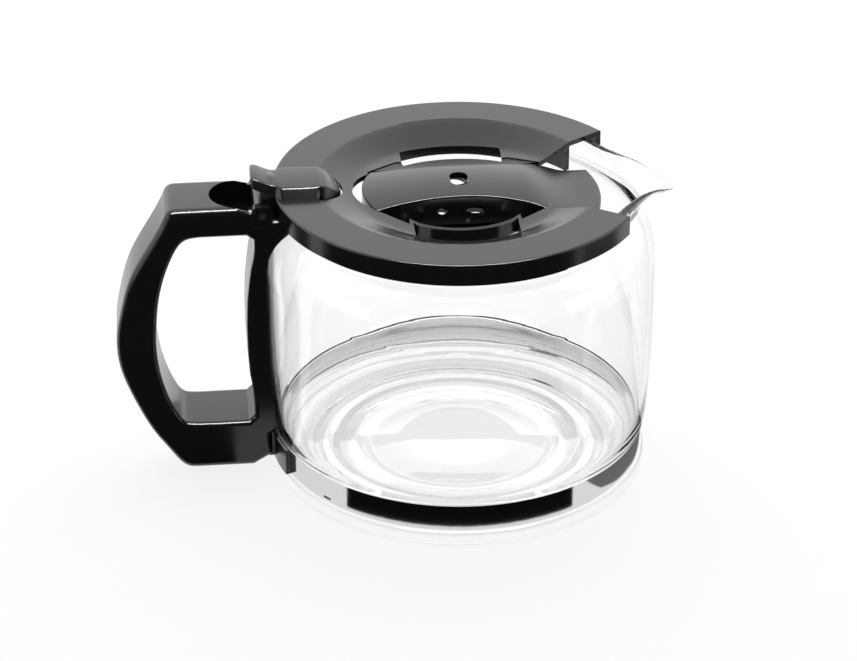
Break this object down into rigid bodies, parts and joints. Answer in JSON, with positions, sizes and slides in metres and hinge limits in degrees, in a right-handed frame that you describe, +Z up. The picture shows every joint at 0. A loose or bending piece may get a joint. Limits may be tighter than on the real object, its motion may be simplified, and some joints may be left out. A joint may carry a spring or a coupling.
{
  "type": "coffee server carafe",
  "caption": "Clear glass coffee jug with steel base band, moulded loop handle and a hinged drip-through lid with thumb lever",
  "frame": {"origin": "on the jug's axis, in the plane that the jug stands on", "axes": "+Z up, +X towards the spout, the handle along -X"},
  "size_m": [0.2151, 0.15, 0.1255],
  "materials": {
    "jug_glass": "clear borosilicate glass, fire polished",
    "band_steel": "polished stainless strip",
    "screw_steel": "plain steel screw",
    "nut_steel": "plain steel nut",
    "handle_plastic": "black moulded plastic, satin gloss",
    "pin_steel": "ground steel pin",
    "lid_plastic": "black moulded plastic, satin gloss",
    "insert_plastic": "black moulded plastic, satin gloss",
    "lever_plastic": "black moulded plastic, satin gloss"
  },
  "bodies": {
    "jug": {"glass_jug": "jug_glass", "base_band": "band_steel", "band_screw": "screw_steel", "band_nut": "nut_steel", "handle": "handle_plastic", "hinge_pin": "pin_steel"},
    "lid": {"lid": "lid_plastic", "flow_insert": "insert_plastic", "thumb_lever": "lever_plastic"}
  },
  "joints": [
    {"name": "lid_hinge", "type": "hinge", "parent": "jug", "child": "lid", "pos_m": [-0.075, 0, 0.1125], "axis": [0, -1, 0], "range_deg": [0, 90]}
  ]
}
